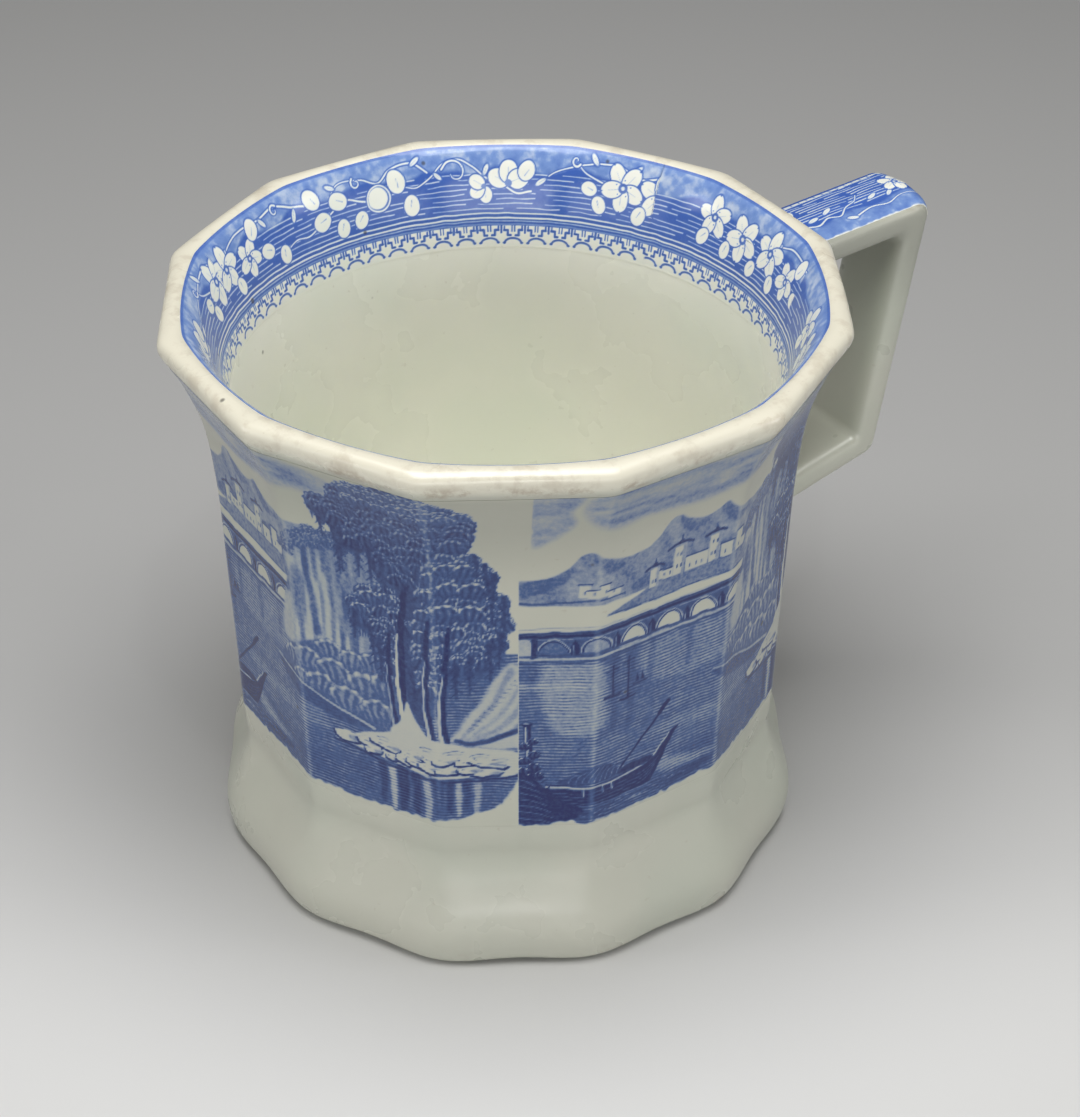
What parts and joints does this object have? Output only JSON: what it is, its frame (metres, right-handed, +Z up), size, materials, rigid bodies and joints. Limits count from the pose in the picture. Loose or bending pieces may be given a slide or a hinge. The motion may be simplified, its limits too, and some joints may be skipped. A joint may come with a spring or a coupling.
{
  "type": "shaving mug",
  "caption": "Faceted glazed earthenware shaving mug with a flared lip, an angular strap handle and blue transfer-printed decoration.",
  "frame": {"origin": "centre of the mug's foot, on the mug's axis, in the plane it stands on", "axes": "+Z up along the mug's axis, +X out through the middle of the handle, +Y to the left of the handle seen from above with the handle pointing right"},
  "size_m": [0.1216, 0.0966, 0.09],
  "materials": {
    "glazed_body": "glossy cream-white lead glaze",
    "glazed_handle": "glossy cream-white lead glaze",
    "scene_print": "grey-blue landscape print under glossy glaze",
    "border_print": "cobalt blue floral border print under glossy glaze"
  },
  "bodies": {
    "root": {"body_wall": "glazed_body", "base_disc": "glazed_body", "base_luting_roll": "glazed_body", "handle": "glazed_handle", "handle_upper_slip": "glazed_handle", "handle_lower_slip": "glazed_handle", "outer_print_right": "scene_print", "outer_print_back": "scene_print", "outer_print_left": "scene_print", "inner_border_print_right": "border_print", "inner_border_print_back": "border_print", "inner_border_print_left": "border_print", "inner_border_print_handle_side": "border_print", "handle_print": "border_print"}
  },
  "joints": []
}
